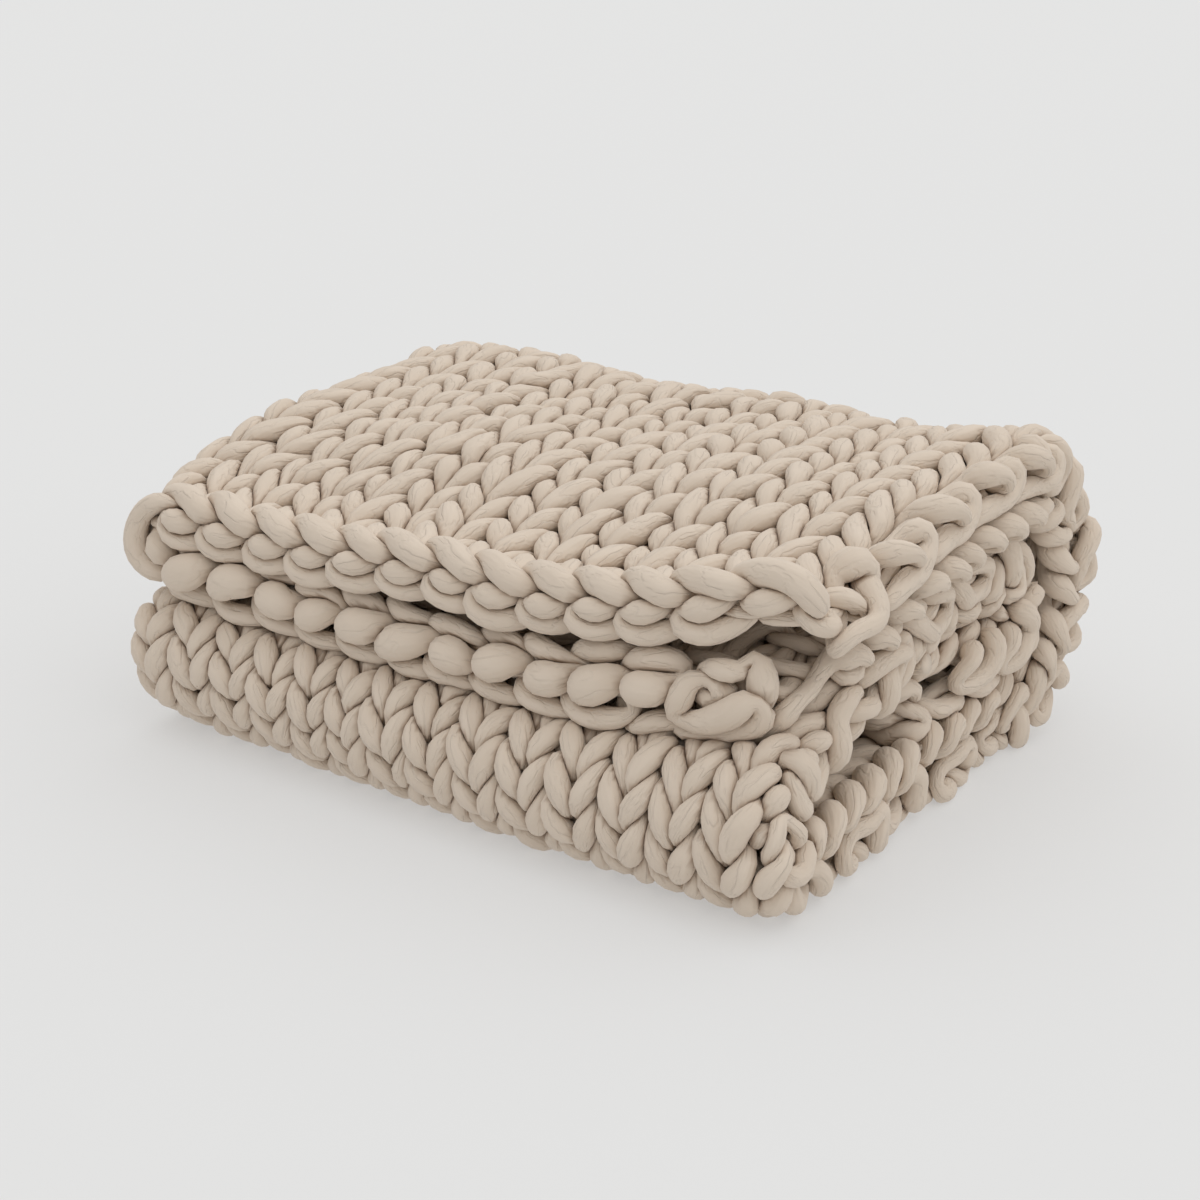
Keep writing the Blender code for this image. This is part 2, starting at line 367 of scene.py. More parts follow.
# On the other runs the yarn goes round the side edge as a knob, along the purl side, and back
# over the edge as a strand.
SIDE_LOOP = (
    (0.00, -1.10, -0.17, 0.14),
    (0.18, -1.06, 0.12, 0.20),
    (0.42, -1.02, 0.06, 0.22),
    (0.60, -0.92, -0.20, 0.18),
    (0.52, -0.50, -0.50, 0.17),
    (0.42, 0.26, -0.55, 0.17),
    (0.38, 0.80, -0.45, 0.13),
    (0.52, 0.68, -0.20, 0.12),
    (0.66, 0.42, -0.04, 0.14),
    (0.38, 0.02, 0.06, 0.20),
    (0.10, -0.45, 0.06, 0.17),
    (-0.08, -0.62, -0.10, 0.13),
    (0.00, -0.10, -0.17, 0.14),
)
UNEVEN = rng.uniform(-1, 1, (ROW_COUNT + 2, 2, 3))
# The inner ply's side edge, on the top and on the other runs: how much further its turns stand
# out, how far up they are moved, and how they are turned over there.
INNER_OUT = (1.30, 0.65)
INNER_UP = (-0.05, 0.20)
INNER_TURNED = (-0.7, 1.0)
INNER_YARN = 1.08  # and how much thicker the yarn is
HELD, HELD_ROWS = 0.45, 2  # the chain's knot holds the first rows' turns in by that share
HELD_ON = 0.9  # draws them on towards this many rows
HELD_THIN = 0.1  # and thins them


def slack_edge(row, inner):
    """Whether a row's outermost leg is slack, as it is where the side edge hangs free."""
    if inner:
        return row <= INNER_SLACK_ROWS or FLOOR_ROWS[0] <= row <= FLOOR_ROWS[1]
    return row <= OUTER_SLACK_ROWS


def beside(row, inner, outward, rows, up, radius):
    """Places by a side edge as panel places. The inner ply's edge shows its purl side."""
    if inner:
        top = 1 / (1 + math.exp(2 * (row - OUTER_SLACK_ROWS)))
        pairs = (INNER_OUT, INNER_UP, INNER_TURNED)
        out, raised, turned = (on_top * top + elsewhere * (1 - top) for on_top, elsewhere in pairs)
        held = 1 - HELD * math.exp(-((max(row, 0) / HELD_ROWS) ** 2))
        outward = outward * out * held
        up = raised + turned * up
        rows = rows * held + HELD_ON * (1 - held)
        radius = radius * INNER_YARN * (1 - HELD_THIN * (1 - held))
    across = COLUMNS + outward if inner else -outward
    return np.stack([across, row_to_length(row + rows, across), up, radius], axis=1)


def edge_leg(row, inner):
    """A row's outermost leg where the side edge hangs free."""
    head = [swell(0.5, (EDGE_SLACK, 0.0, SLACK_REACH)) - 0.5, LOOP_HEIGHT, -LOOP_DEPTH, TIGHT_YARN]
    knots = np.array(FLAT_LEG if inner or row % 2 == 0 else BENT_LEG)
    if row in CORNER_LEGS and not inner:
        shift, broader = CORNER_LEGS[row]
        knots[2:8] = (knots[2:8] + shift) * (1, 1, 1, broader)
        if row == 1:
            knots[8:12] += CORNER_CORD
    return beside(row, inner, *spline(np.concatenate([knots, [head]])).T)


def side_turn(row, inner, first=0):
    """Where the yarn goes round a side edge, from one row's foot to the next's."""
    if slack_edge(row, inner):
        knots = np.array(EDGE_TURN)[first:]
        if row == 0 and not inner:
            knots[1:-1] += CORNER_TURN
        return beside(row, inner, *spline(knots)[1:-1].T)
    outward, rows, up, radius = spline(np.array(SIDE_LOOP))[1:-1].T
    more, on, higher = TURN_UNEVEN * UNEVEN[row, int(inner)]
    bend = np.sin(np.linspace(0, math.pi, len(rows)))
    outward = outward * TIGHT_EDGE * (1 + more)
    rows = rows * (1 - TURN_NARROW * bend) + on * bend
    if not inner and FLOOR_ROWS[0] <= row <= FLOOR_ROWS[1]:
        rows = rows + FLOOR_SLANT * (up + 0.2) * bend
    across = COLUMNS + outward if inner else -outward
    along = row_to_length(row + rows, across)
    return np.stack([across, along, up + higher * bend, radius * (1 + TURN_SWELL * bend)], axis=1)


# One link of the chain edge, as the yarn goes. right and front are seen from in front of the
# outer ply's edge, up is towards the knit side. The outer ply's links hang free over the gap;
# the inner ply's are pressed under them, with fat middles and flat backs.
LINK_LENGTH = 1.02
LINK_SPREAD = (0.05, 0.04, 0.05, 0.02)  # how uneven the inner ply's links are
BOUND_OFF_BACK = 0.4  # how far the bound-off chain is drawn onto its last row
OUTER_LINK = (
    # right, front, up, radius
    (-0.72, -0.16, 0.26, 0.20),
    (-0.10, 0.04, 0.30, 0.27),
    (0.50, 0.12, 0.20, 0.25),
    (0.70, -0.20, 0.06, 0.17),
    (0.52, -0.06, -0.22, 0.18),
    (0.06, 0.16, -0.44, 0.21),
    (-0.42, 0.20, -0.28, 0.20),
    (-0.50, -0.04, 0.00, 0.16),
    (-0.27, 0.12, 0.01, 0.21),
    (-0.02, 0.22, 0.02, 0.25),
    (0.19, 0.12, 0.04, 0.22),
    (0.38, -0.04, 0.06, 0.18),
)
INNER_LINK = (
    (-0.72, 0.00, 0.42, 0.17),
    (-0.10, 0.16, 0.50, 0.20),
    (0.50, 0.16, 0.42, 0.19),
    (0.72, -0.12, 0.10, 0.15),
    (0.62, -0.04, -0.48, 0.18),
    (0.06, 0.02, -0.58, 0.23),
    (-0.50, -0.08, -0.46, 0.18),
    (-0.56, -0.10, -0.16, 0.17),
    (-0.30, 0.18, -0.22, 0.32),
    (-0.02, 0.28, -0.22, 0.355),
    (0.25, 0.18, -0.14, 0.31),
    (0.44, -0.04, -0.02, 0.18),
)
# The yarn starts in the outer ply's last link, which is thick and curls down at the corner.
START_LINK = (
    (-0.72, -0.16, 0.26, 0.20),
    (-0.10, 0.04, 0.30, 0.26),
    (0.34, 0.08, 0.27, 0.25),
    (0.60, 0.08, 0.16, 0.24),
    (0.70, 0.04, -0.04, 0.22),
    (0.58, -0.06, -0.20, 0.17),
    (0.36, -0.25, -0.26, 0.14),
    (-0.30, -0.06, -0.32, 0.14),
    (-0.50, -0.06, -0.04, 0.16),
    (-0.02, 0.24, -0.02, 0.28),
    (0.48, 0.00, 0.00, 0.22),
)
LINK_UNEVEN = np.random.default_rng(SEED + 1).normal(size=(COLUMNS, len(INNER_LINK), 4)).clip(-2, 2)
# Where the chain wraps round the left fold, in one long loop over a hollow.
FOLD_COLUMNS = (13, 14)
FOLD_WRAP = (
    # across, front, up, radius
    (12.70, 0.00, 0.20, 0.18),
    (13.00, 0.10, 0.30, 0.19),
    (13.30, 0.14, 0.38, 0.20),
    (13.65, 0.12, 0.42, 0.22),
    (13.95, 0.12, 0.40, 0.24),
    (14.25, 0.12, 0.38, 0.26),
    (14.52, 0.10, 0.32, 0.25),
    (14.80, 0.05, 0.30, 0.20),
    (14.60, -0.25, 0.25, 0.18),
    (13.95, -0.38, 0.32, 0.24),
    (13.40, -0.38, 0.20, 0.24),
    (13.50, -0.15, -0.20, 0.22),
    (13.95, 0.06, -0.22, 0.28),
    (14.50, 0.10, -0.42, 0.27),
    (14.90, 0.00, -0.20, 0.18),
)
# The knot that gathers the chain's end at the inner ply's corner.
KNOT_COLUMNS = (26, 27)
END_KNOT = (
    # across, front, up, radius
    (26.20, 0.05, 0.62, 0.18),
    (26.90, 0.16, 0.62, 0.20),
    (27.50, 0.16, 0.54, 0.22),
    (27.85, 0.12, 0.28, 0.24),
    (27.85, 0.15, 0.02, 0.22),
    (27.75, 0.30, -0.17, 0.20),
    (27.62, 0.40, -0.02, 0.26),
    (27.28, 0.42, 0.14, 0.28),
    (26.80, 0.36, 0.28, 0.23),
    (26.35, 0.20, 0.30, 0.18),
    (26.06, 0.22, 0.12, 0.21),
    (26.26, 0.28, -0.12, 0.25),
    (26.38, 0.26, -0.38, 0.22),
    (26.66, 0.16, -0.48, 0.15),
    (27.14, 0.30, -0.32, 0.25),
    (27.06, 0.24, -0.08, 0.24),
    (26.62, 0.18, -0.06, 0.25),
    (26.50, 0.14, -0.34, 0.20),
    (26.62, 0.16, -0.56, 0.15),
    (27.10, 0.38, -0.58, 0.21),
    (27.50, 0.26, -0.56, 0.18),
    (27.55, 0.05, -0.72, 0.20),
    (27.76, 0.16, -0.54, 0.26),
    (27.84, 0.16, -0.23, 0.27),
    (27.70, 0.00, 0.12, 0.24),
    (27.40, -0.15, 0.54, 0.22),
    (27.40, -0.20, 0.95, 0.22),
)


def chain_edge(edge, front_sign, cast_on):
    """The chain along a cast-on or bound-off edge, from the outer ply's side edge to the inner's."""
    knots = []
    for column in range(COLUMNS):
        inner = soft_step((column - COLUMNS / 2 + 2) / 3)
        link = np.array(OUTER_LINK) * (1 - inner) + np.array(INNER_LINK) * inner
        link = link + inner * LINK_UNEVEN[column] * LINK_SPREAD
        if cast_on and column == 0:
            link = np.array(START_LINK)
        way = [(column + 0.5 - LINK_LENGTH * right, *rest) for right, *rest in link[::-1]]
        if cast_on and column in FOLD_COLUMNS:
            way = FOLD_WRAP if column == FOLD_COLUMNS[0] else ()
        if cast_on and column in KNOT_COLUMNS:
            way = END_KNOT if column == KNOT_COLUMNS[0] else ()
        knots.extend((across, edge + front_sign * front, up, radius) for across, front, up, radius in way)
    return spline(np.array(knots))


def spline(knots, steps=8):
    """A smooth line through the knots (Catmull and Rom's)."""
    padded = np.concatenate([knots[:1], knots, knots[-1:]])
    t = (np.arange(steps) / steps)[None, :, None]
    a, b, c, d = (padded[i : len(padded) - 3 + i, None] for i in range(4))
    bent = (2 * a - 5 * b + 4 * c - d) * t**2 + (3 * b - a - 3 * c + d) * t**3
    points = 0.5 * (2 * b + (c - a) * t + bent)
    return np.concatenate([points.reshape(-1, knots.shape[1]), knots[-1:]])


def whole_yarn():
    """The yarn from its start in the cast-on chain to its end: panel places, radius and row."""
    parts = [(chain_edge(0.0, -1, True), -1), (side_turn(-1, True, 2), 0)]
    for row in range(ROW_COUNT):
        goes_back = row % 2 == 0
        loops = row_of_loops(row)
        parts.append((loops[::-1] if goes_back else loops, row))
        if row < ROW_COUNT - 1:
            parts.append((side_turn(row, not goes_back), row))
    parts.append((chain_edge(LENGTH[-1] - BOUND_OFF_BACK, 1, False), ROW_COUNT))
    return np.concatenate([np.column_stack([places, np.full(len(places), row)]) for places, row in parts])


def resample(points, extras, spacing):
    """Points along the yarn at the given spacing, with what goes with them."""
    steps = np.linalg.norm(np.diff(points, axis=0), axis=1)
    count = np.r_[0, np.cumsum(steps / ((spacing[1:] + spacing[:-1]) / 2))]
    even = np.linspace(0, count[-1], int(count[-1]) + 1)
    both = np.column_stack([points, extras])
    return np.stack([np.interp(even, count, c) for c in both.T], axis=1)


def near_pairs(points, reach, skip):
    """Every ordered pair of samples closer than reach and more than skip apart on the yarn."""
    cell = np.floor(points / reach).astype(np.int64)
    cell -= cell.min(axis=0) - 1
    size = cell.max(axis=0) + 2
    stride = np.array([size[1] * size[2], size[2], 1])
    key = cell @ stride
    order = np.argsort(key, kind="stable")
    ranked = key[order]
    ones, twos = [], []
    for shift in itertools.product((-1, 0, 1), repeat=3):
        other = key + np.dot(shift, stride)
        low = np.searchsorted(ranked, other, "left")
        count = np.searchsorted(ranked, other, "right") - low
        one = np.repeat(np.arange(len(points)), count)
        starts = np.repeat(low - np.r_[0, np.cumsum(count)[:-1]], count)
        two = order[starts + np.arange(len(one))]
        apart = points[two] - points[one]
        keep = ((apart**2).sum(axis=1) < reach * reach) & (np.abs(one - two) > skip)
        ones.append(one[keep])
        twos.append(two[keep])
    one, two = np.concatenate(ones), np.concatenate(twos)
    order = np.argsort(one, kind="stable")
    return one[order], two[order]


# How crowded strands push each other apart, in columns.
PUSH_REACH = 0.56  # strands further apart than this don't touch
CLOSENESS = 0.72  # soft tubes lie as near as this share of their two radii
PUSH = 0.12  # the share of the missing distance that one round makes good
LONGEST_PUSH = 0.03
ROUNDS = 12
ROUNDS_PER_SEARCH = 4  # after so many rounds the neighbours are looked for again
FLOOR_SHARE = 0.6  # the yarn's middle stays this share of its radius above the floor


def shortened(steps, most):
    """The steps, none of them longer than most."""
    size = np.linalg.norm(steps, axis=1)[:, None]
    return steps * np.minimum(1, most / np.maximum(size, 1e-6))


def relax(points, radius, most):
    """Lets crowded strands push each other apart a little, and keeps them off the floor."""
    start = points.copy()
    for number in range(ROUNDS):
        if number % ROUNDS_PER_SEARCH == 0:
            one, two = near_pairs(points, PUSH_REACH, 6)
        apart = points[two] - points[one]
        distance = np.linalg.norm(apart, axis=1)
        wanted = CLOSENESS * (radius[one] + radius[two])
        push = np.maximum(wanted - distance, 0) / np.maximum(distance, 0.05) * PUSH
        moved = [np.bincount(one, -push * apart[:, k], len(points)) for k in range(3)]
        points = points + shortened(blur(np.stack(moved, axis=1), 1.5), LONGEST_PUSH)
        points[:, 2] = np.maximum(points[:, 2], FLOOR_SHARE * radius)
        points = start + shortened(points - start, most[:, None])
    return points


def frames_along(points):
    """Two cross directions carried along the yarn without twist."""
    tangent = np.gradient(points, axis=0)
    tangent /= np.linalg.norm(tangent, axis=1)[:, None]
    first = np.empty_like(points)
    side = np.cross(tangent[0], (0.3, 0.5, 0.8))
    side /= np.linalg.norm(side)
    for i, (tx, ty, tz) in enumerate(tangent.tolist()):
        x, y, z = side
        d = x * tx + y * ty + z * tz
        x, y, z = x - d * tx, y - d * ty, z - d * tz
        size = math.sqrt(x * x + y * y + z * z)
        side = (x / size, y / size, z / size)
        first[i] = side
    return first, np.cross(tangent, first)


# How the tubes press flat on each other, in columns.
PRESS_REACH = 0.68  # strands whose middles are further apart than this don't touch
FREE = 9.0  # more than enough room, where nothing is in the way
STRAND_GAP = 0.008  # left open on each side between two strands
FLOOR_GAP = 0.012
LEAST_RADIUS = 0.03
ROUNDNESS = 9.0  # how sharply a pressed side turns into a round one
CREASE_SHADE_START, CREASE_SHADE_RANGE = 1.04, 0.40  # in radii: how near a neighbour comes before the painted crease shade starts on the yarn, and where it is full


def squeeze(points, radius, first, second, face, room):
    """The tube's radius all round at every sample, and the painted shade there, which darkens the yarn's
    colour where a neighbour presses close.

    face is the way the knit side looks, and room is how far below its even face the yarn's
    middle lies."""
    one, two = near_pairs(points, PRESS_REACH, 2)
    apart = points[two] - points[one]
    power = (apart**2).sum(axis=1) + radius[one] ** 2 - radius[two] ** 2
    near = np.sqrt((apart**2).sum(axis=1))
    a = (apart * first[one]).sum(axis=1)
    b = (apart * second[one]).sum(axis=1)
    starts = np.r_[0, np.flatnonzero(np.diff(one)) + 1]
    owners = one[starts]
    limit = np.full((len(points), SIDES), FREE)
    painted_crease_shade = np.zeros((len(points), SIDES))
    for k in range(SIDES):
        angle = 2 * math.pi * k / SIDES
        facing = a * math.cos(angle) + b * math.sin(angle)
        reach = np.where(facing > 0.06 * near, power / (2 * np.maximum(facing, 1e-4)), FREE)
        limit[owners, k] = np.minimum.reduceat(reach, starts)
        # Painted shade: the closer a neighbour presses on this side, the darker the yarn's colour is
        # painted there, as the shade in the crevice between them.
        painted_crease_shade[:, k] = soft_step((CREASE_SHADE_START * radius - limit[:, k]) / (CREASE_SHADE_RANGE * radius))
        down = -(first[:, 2] * math.cos(angle) + second[:, 2] * math.sin(angle))
        to_floor = np.where(down > 0.05, (points[:, 2] - FLOOR_GAP) / np.maximum(down, 0.05), FREE)
        rise = math.cos(angle) * (first * face).sum(axis=1) + math.sin(angle) * (second * face).sum(axis=1)
        to_face = np.where(rise > 0.05, room / np.maximum(rise, 0.05), FREE)
        limit[:, k] = np.minimum(limit[:, k], np.minimum(to_floor, to_face))
    limit = np.maximum(limit - STRAND_GAP, LEAST_RADIUS)
    soft = (radius[:, None] ** -ROUNDNESS + limit**-ROUNDNESS) ** (-1 / ROUNDNESS)
    soft = blur(soft, 0.6)
    return (np.roll(soft, 1, axis=1) + 2 * soft + np.roll(soft, -1, axis=1)) / 4, painted_crease_shade


SPACING = 0.15  # from one ring of the mesh to the next along the yarn
TURN_SPACING = 0.11  # and where it turns at a side edge
HIDDEN_SPACING = 0.30  # and inside the pile, where it can't be seen
OPEN_COLUMNS = 1.5  # how far in from a side edge the pile's inside shows
OPEN_CHAIN_COLUMNS = 3.5  # and its bound-off chain
LAST_SEEN_ROW = 36  # of the outer ply
UNPRESSED = 0.3  # the knit side is pressed even except for these columns by a side edge
LAID_BY_HAND = ((12.6, 15.2), (25.9, 29.0))  # columns of the cast-on chain: its wrap and its knot
GIVE, PLACED_GIVE = 0.16, 0.04  # how far strands may be pushed, and the chain's listed wrap and knot
WANDER = 0.035  # how far the yarn strays
THICK_AND_THIN = 0.05  # how uneven it is, as a share of its radius
THICKEST = 0.12  # and at most
LOWEST = 0.14  # the yarn's middle above the floor
LEAST_ROOM = 0.12  # the yarn is never pressed flatter than this from its middle to its face


def straying(shape, width):
    """Random numbers that change slowly along the yarn, by about one up and down."""
    narrowed_by = round(math.sqrt(2 * math.sqrt(math.pi) * width), 1)
    return blur(rng.normal(size=shape), width) * narrowed_by


def ring_spacing(across, row):
    """How far apart the rings of the mesh are, closer where they show."""
    chain = row == ROW_COUNT
    open_columns = np.where(chain, OPEN_CHAIN_COLUMNS, OPEN_COLUMNS)
    inside = (across > open_columns) & (across < COLUMNS - open_columns)
    hidden = (across > COLUMNS / 2 + 2) & (across < COLUMNS - OPEN_COLUMNS) & (row > 1)
    hidden = (hidden & (~chain | inside)) | ((row > LAST_SEEN_ROW) & inside)
    spacing = np.where(hidden, HIDDEN_SPACING, SPACING)
    spacing[(across < 0) | (across > COLUMNS)] = TURN_SPACING
    return blur(spacing, 4)


def knit():
    """The pressed yarn: rings of points, and each ring's row, length along the yarn and painted shade where
    strands press together.
    """
    raw = whole_yarn()
    places, radius, row = raw[:, :3], raw[:, 3], raw[:, 4]
    across, out = raw[:, 0], raw[:, 2]
    points = blur(lay(*places.T), 1.5)
    face = lay(*(places + [0, 0, 0.2]).T) - lay(*places.T)
    face /= np.linalg.norm(face, axis=1)[:, None]
    free = (row < 0) | (row == ROW_COUNT) | (across < UNPRESSED) | (across > COLUMNS - UNPRESSED)
    room = np.where(free, FREE, FACE - out)
    by_hand = np.any([(across > start) & (across < end) for start, end in LAID_BY_HAND], axis=0)
    give = blur(np.where(by_hand & (row < 0), PLACED_GIVE, GIVE), 10)
    extras = np.column_stack([radius, row, room, face, give])
    even = resample(points, extras, ring_spacing(across, row))
    points, radius, row, room, face, give = np.split(even, (3, 4, 5, 6, 9), axis=1)
    radius, row, room, give = radius[:, 0], row[:, 0], room[:, 0], give[:, 0]
    points = points + straying(points.shape, 5) * WANDER
    radius = radius * (1 + np.clip(straying(len(points), 6) * THICK_AND_THIN, -THICKEST, THICKEST))
    points = relax(points, radius, give)
    points = blur(points, 0.7)
    points[:, 2] = np.maximum(points[:, 2], LOWEST)
    first, second = frames_along(points)
    pressed, painted_crease_shade = squeeze(points, radius, first, second, face, np.maximum(room, LEAST_ROOM))
    angle = 2 * math.pi * np.arange(SIDES) / SIDES
    way = first[:, None] * np.cos(angle)[:, None] + second[:, None] * np.sin(angle)[:, None]
    rings = points[:, None] + pressed[:, :, None] * way
    length = np.r_[0, np.cumsum(np.linalg.norm(np.diff(points, axis=0), axis=1))]
    return rings, row, length, painted_crease_shade


SOLID_LOW = np.array([0.0553, 0.0023])  # the solid's lowest corner, in columns from the cloth's zero
ORIGIN = np.array([*(np.array(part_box("blanket")[0])[:2] - SOLID_LOW * COLUMN), 0.0])
TUBE_RADIUS = YARN * COLUMN  # metres

PIECES = (
    # name, first row
    ("knit_top_front", -1),
    ("knit_top_back", 6),
    ("knit_back_fold", 13),
    ("knit_floor", 20),
    ("knit_front_fold", 27),
    ("knit_flap", 34),
    ("knit_tuck", 41),
)


def add_uv(mesh, name, count, sides, along, around, rest):
    """A UV map of the tube's quads, from where each lies along and around it. The caps rest."""
    quads = np.empty((count - 1, sides, 4, 2))
    quads[..., 0] = along[:, None]
    quads[..., 1] = around
    uv = np.full((len(mesh.loops), 2), rest)
    uv[: quads.size // 2] = quads.reshape(-1, 2)
    mesh.uv_layers.new(name=name).data.foreach_set("uv", uv.ravel())


def tube_mesh(name, rings, length, painted_crease_shade):
    """A closed tube mesh through the rings, with the yarn's own measure as its UV map."""
    count, sides = rings.shape[:2]
    points = np.concatenate([rings.reshape(-1, 3), rings[:1].mean(axis=1), rings[-1:].mean(axis=1)])
    ring, k = np.arange(count - 1)[:, None] * sides, np.arange(sides)
    after = (k + 1) % sides
    quads = np.stack([ring + k, ring + after, ring + sides + after, ring + sides + k], axis=2)
    start, end, last = count * sides, count * sides + 1, (count - 1) * sides
    caps = np.concatenate([
        np.stack([np.full(sides, start), after, k], axis=1),
        np.stack([np.full(sides, end), last + k, last + after], axis=1),
    ])
    corners = np.concatenate([quads.ravel(), caps.ravel()])
    sizes = np.r_[np.full(quads.size // 4, 4), np.full(len(caps), 3)]
    mesh = bpy.data.meshes.new(name)
    mesh.vertices.add(len(points))
    mesh.vertices.foreach_set("co", (points * COLUMN + ORIGIN).ravel())
    mesh.loops.add(len(corners))
    mesh.loops.foreach_set("vertex_index", corners.astype(np.int32))
    mesh.polygons.add(len(sizes))
    mesh.polygons.foreach_set("loop_start", (np.cumsum(sizes) - sizes).astype(np.int32))
    mesh.update(calc_edges=True)
    # The painted crease shade goes onto the mesh as a point attribute, for the material to darken its
    # colour by.
    shade = mesh.attributes.new("painted_crease_shade", "FLOAT", "POINT")
    shade.data.foreach_set("value", np.r_[painted_crease_shade.ravel(), 0, 0].astype(np.float32))

    metres = length * COLUMN
    along = np.stack([metres[:-1], metres[:-1], metres[1:], metres[1:]], axis=1)
    around = np.stack([k, k + 1, k + 1, k], axis=1) / sides
    add_uv(mesh, "Yarn", count, sides, along, around, 0.0)
    # For baking, the yarn is cut into strips that lie side by side and about fill a square.
    strips = round(math.sqrt(metres[-1] - metres[0]) / math.sqrt(2 * math.pi * TUBE_RADIUS))
    per_strip = math.ceil((count - 1) / strips)
    number = np.arange(count - 1)
    along = ((number % per_strip)[:, None] + np.array([0, 0, 1, 1])) / per_strip
    around = ((number // per_strip)[:, None, None] + 0.03 + 0.94 * around) / strips
    add_uv(mesh, "OFBake", count, sides, along, around, 0.5)
    mesh.shade_smooth()
    mesh.validate()
    return mesh


# ---------------------------------------------------------------- what it is made of
RIB = 0.0022  # metres; the jersey's wales are about 1 mm apart, drawn coarser so that they show
RIB_STRETCH = 14  # how many times longer than wide they are
WRINKLE = 0.011  # metres; soft lengthwise wrinkles, where the stuffed tube bends
WRINKLE_STRETCH = 2.6
CREASE_WIDTH = 0.045  # as a share of the wrinkles' height
RELIEF = 0.0016  # metres, how deep the wrinkles are
FLOOR_HALF = 12.0  # metres


def linear(hex_colour):
    """An sRGB hex colour as the linear RGBA that the shaders take."""
    values = [int(hex_colour[i : i + 2], 16) / 255 for i in (1, 3, 5)]
    return [v / 12.92 if v <= 0.04045 else ((v + 0.055) / 1.055) ** 2.4 for v in values] + [1.0]


def node(tree, kind, settings=None, inputs=None):
    """Adds one node with its settings. An input is a value, a socket, or a node's first output."""
    made = tree.nodes.new(kind)
    for key, value in (settings or {}).items():
        setattr(made, key, value)
    for key, value in (inputs or {}).items():
        if isinstance(value, bpy.types.Node):
            value = value.outputs[0]
        if isinstance(value, bpy.types.NodeSocket):
            tree.links.new(value, made.inputs[key])
        else:
            made.inputs[key].default_value = value
    return made


MULTIPLY, ADD = {"operation": "MULTIPLY"}, {"operation": "ADD"}
COLOURS = {"data_type": "RGBA"}


def jersey_tube_yarn():
    """Cotton jersey, knitted, sewn to a tube and stuffed: matt, with a little soft fuzz that
    lightens its edges, fine lengthwise wales, and soft wrinkles. Its colour has painted shade: it
    is painted darker and browner where two strands press on each other and no light comes in."""
    material = bpy.data.materials.new("stuffed cotton jersey tube")
    material.use_nodes = True
    tree = material.node_tree
    measure = node(tree, "ShaderNodeUVMap", {"uv_map": "Yarn"})
    parts = node(tree, "ShaderNodeSeparateXYZ", inputs={0: measure})
    along, share = parts.outputs[0], parts.outputs[1]
    angle = node(tree, "ShaderNodeMath", MULTIPLY, {0: share, 1: 2 * math.pi})
    up = node(tree, "ShaderNodeMath", {"operation": "COSINE"}, {0: angle})
    up = node(tree, "ShaderNodeMath", MULTIPLY, {0: up, 1: TUBE_RADIUS})
    side = node(tree, "ShaderNodeMath", {"operation": "SINE"}, {0: angle})
    side = node(tree, "ShaderNodeMath", MULTIPLY, {0: side, 1: TUBE_RADIUS})
    patterns = []
    for size, stretch, detail in ((RIB, RIB_STRETCH, 2.0), (WRINKLE, WRINKLE_STRETCH, 2.5)):
        drawn_out = node(tree, "ShaderNodeMath", {"operation": "DIVIDE"}, {0: along, 1: stretch})
        place = node(tree, "ShaderNodeCombineXYZ", inputs={0: drawn_out, 1: up, 2: side})
        look = {"Vector": place, "Scale": 1 / size, "Detail": detail, "Roughness": 0.55}
        patterns.append(node(tree, "ShaderNodeTexNoise", {"noise_dimensions": "3D"}, look))
    ribs, wrinkles = patterns
    # A crease runs where the wrinkles' pattern crosses its middle.
    off = node(tree, "ShaderNodeMath", {"operation": "SUBTRACT"}, {0: wrinkles, 1: 0.5})
    off = node(tree, "ShaderNodeMath", {"operation": "ABSOLUTE"}, {0: off})
    crease = {0: off, 1: 0.0, 2: CREASE_WIDTH, 3: 0.0, 4: 1.0}
    crease = node(tree, "ShaderNodeMapRange", {"interpolation_type": "SMOOTHSTEP"}, crease)
    ribs = node(tree, "ShaderNodeMath", MULTIPLY, {0: ribs, 1: 0.35})
    waves = node(tree, "ShaderNodeMath", MULTIPLY, {0: wrinkles, 1: 2.0})
    crease = node(tree, "ShaderNodeMath", MULTIPLY, {0: crease, 1: 0.35})
    height = node(tree, "ShaderNodeMath", ADD, {0: ribs, 1: waves})
    height = node(tree, "ShaderNodeMath", ADD, {0: height, 1: crease})
    relief = {"Strength": 0.75, "Distance": RELIEF, "Height": height}
    bump = node(tree, "ShaderNodeBump", inputs=relief)
    # The tone varies at random with the wrinkles' pattern, and as painted shade it is darker in their
    # hollows and lighter on their crests, following the same pattern as the relief.
    wrinkle_shaded_tones = {0: wrinkles, 6: linear("#D6C6B4"), 7: linear("#E3D4C3")}
    tone = node(tree, "ShaderNodeMix", COLOURS, wrinkle_shaded_tones).outputs[2]
    # Painted shade: where strands press close, the colour is mixed towards a dark warm brown that stands in
    # for the shade in the crevices between them.
    painted_crease_shade = node(tree, "ShaderNodeAttribute", {"attribute_name": "painted_crease_shade"}).outputs["Fac"]
    tone = node(tree, "ShaderNodeMix", COLOURS, {0: painted_crease_shade, 6: tone, 7: linear("#93775D")}).outputs[2]
    shader = tree.nodes["Principled BSDF"]
    tree.links.new(tone, shader.inputs["Base Color"])
    tree.links.new(bump.outputs[0], shader.inputs["Normal"])
    shader.inputs["Roughness"].default_value = 0.88
    shader.inputs["Sheen Weight"].default_value = 0.12
    shader.inputs["Sheen Roughness"].default_value = 0.5
    return material


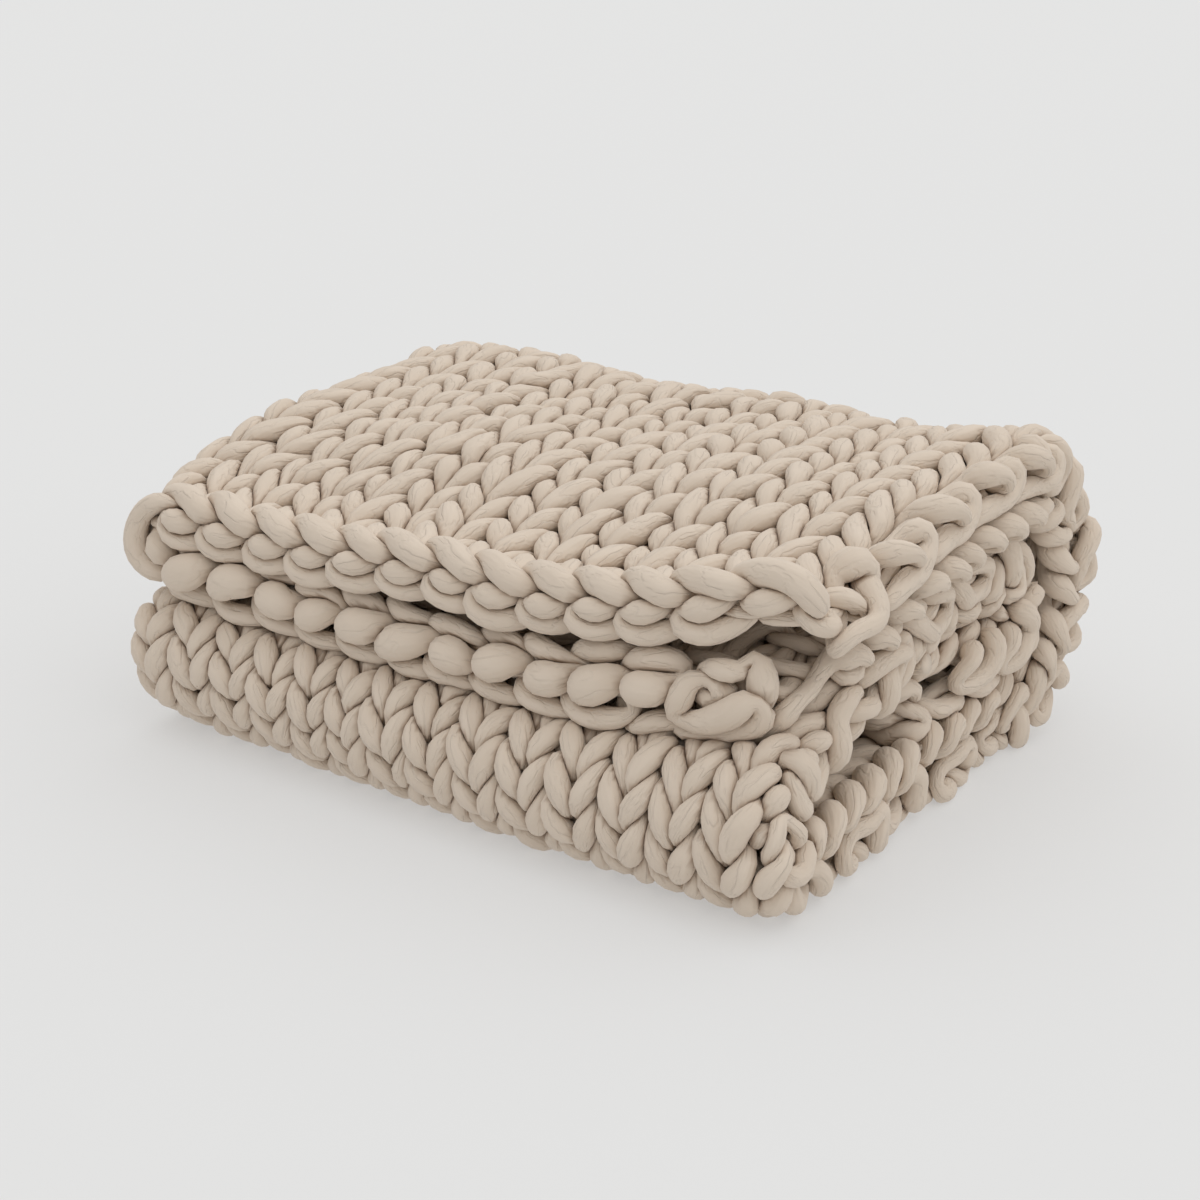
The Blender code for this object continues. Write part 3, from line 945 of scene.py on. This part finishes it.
def plain_floor():
    """A matt, pale paper floor, lifted by a little light of its own as a lit backdrop is."""
    mesh = bpy.data.meshes.new("floor")
    corners = [(x * FLOOR_HALF, y * FLOOR_HALF, 0) for x, y in ((-1, -1), (1, -1), (1, 1), (-1, 1))]
    mesh.from_pydata(corners, [], [(0, 1, 2, 3)])
    floor = bpy.data.objects.new("floor", mesh)
    material = bpy.data.materials.new("matt pale paper")
    material.use_nodes = True
    shader = material.node_tree.nodes["Principled BSDF"]
    shader.inputs["Base Color"].default_value = linear("#A9A9A8")
    shader.inputs["Emission Color"].default_value = linear("#FFFFFF")
    shader.inputs["Emission Strength"].default_value = 0.375
    shader.inputs["Roughness"].default_value = 1.0
    mesh.materials.append(material)
    bpy.context.scene.collection.objects.link(floor)


# ---------------------------------------------------------------- camera and light
AIM = (0.10, -0.55, 2.5)  # columns from the middle of the floor
DISTANCE = 48.2  # columns
SHIFT_RIGHT, SHIFT_UP = 0.11, 0.04
TURN, TILT = math.radians(34.06), math.radians(20.82)
LENS, SENSOR = 79.38, 36.0  # millimetres


def camera():
    """Looks down at the front and at the open right-hand side."""
    forward = np.array([-math.sin(TURN) * math.cos(TILT), math.cos(TURN) * math.cos(TILT), -math.sin(TILT)])
    right = np.array([math.cos(TURN), math.sin(TURN), 0.0])
    up = np.cross(right, forward)
    place = np.array(AIM) - DISTANCE * forward + SHIFT_RIGHT * right + SHIFT_UP * up
    data = bpy.data.cameras.new("camera")
    data.lens, data.sensor_width = LENS, SENSOR
    holder = bpy.data.objects.new("camera", data)
    holder.matrix_world = Matrix([*np.column_stack([right, up, -forward, place * COLUMN]), (0, 0, 0, 1)])
    bpy.context.scene.collection.objects.link(holder)
    bpy.context.scene.camera = holder


def studio_light():
    """An even white room, and one wide soft light from above."""
    world = bpy.data.worlds.new("studio")
    world.use_nodes = True
    back = world.node_tree.nodes["Background"]
    back.inputs["Color"].default_value = linear("#FFFFFF")
    back.inputs["Strength"].default_value = 0.42
    bpy.context.scene.world = world
    light = bpy.data.lights.new("softbox", "SUN")
    light.energy, light.angle = 1.75, math.radians(130)
    holder = bpy.data.objects.new("softbox", light)
    holder.rotation_euler = (math.radians(-8), math.radians(8), 0)
    bpy.context.scene.collection.objects.link(holder)
    bpy.context.scene.view_settings.view_transform = "Standard"


camera()
studio_light()
plain_floor()

rings, row, length, painted_crease_shade = knit()
yarn = jersey_tube_yarn()
firsts = [np.searchsorted(row, first) for _, first in PIECES] + [len(row) - 1]
for (name, _), start, end in zip(PIECES, firsts, firsts[1:]):
    part = slice(start, end + 1)
    mesh = tube_mesh(name, rings[part], length[part], painted_crease_shade[part])
    mesh.materials.append(yarn)
    piece = bpy.data.objects.new(name, mesh)
    bpy.context.scene.collection.objects.link(piece)
    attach(piece, "root")
    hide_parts("blanket")
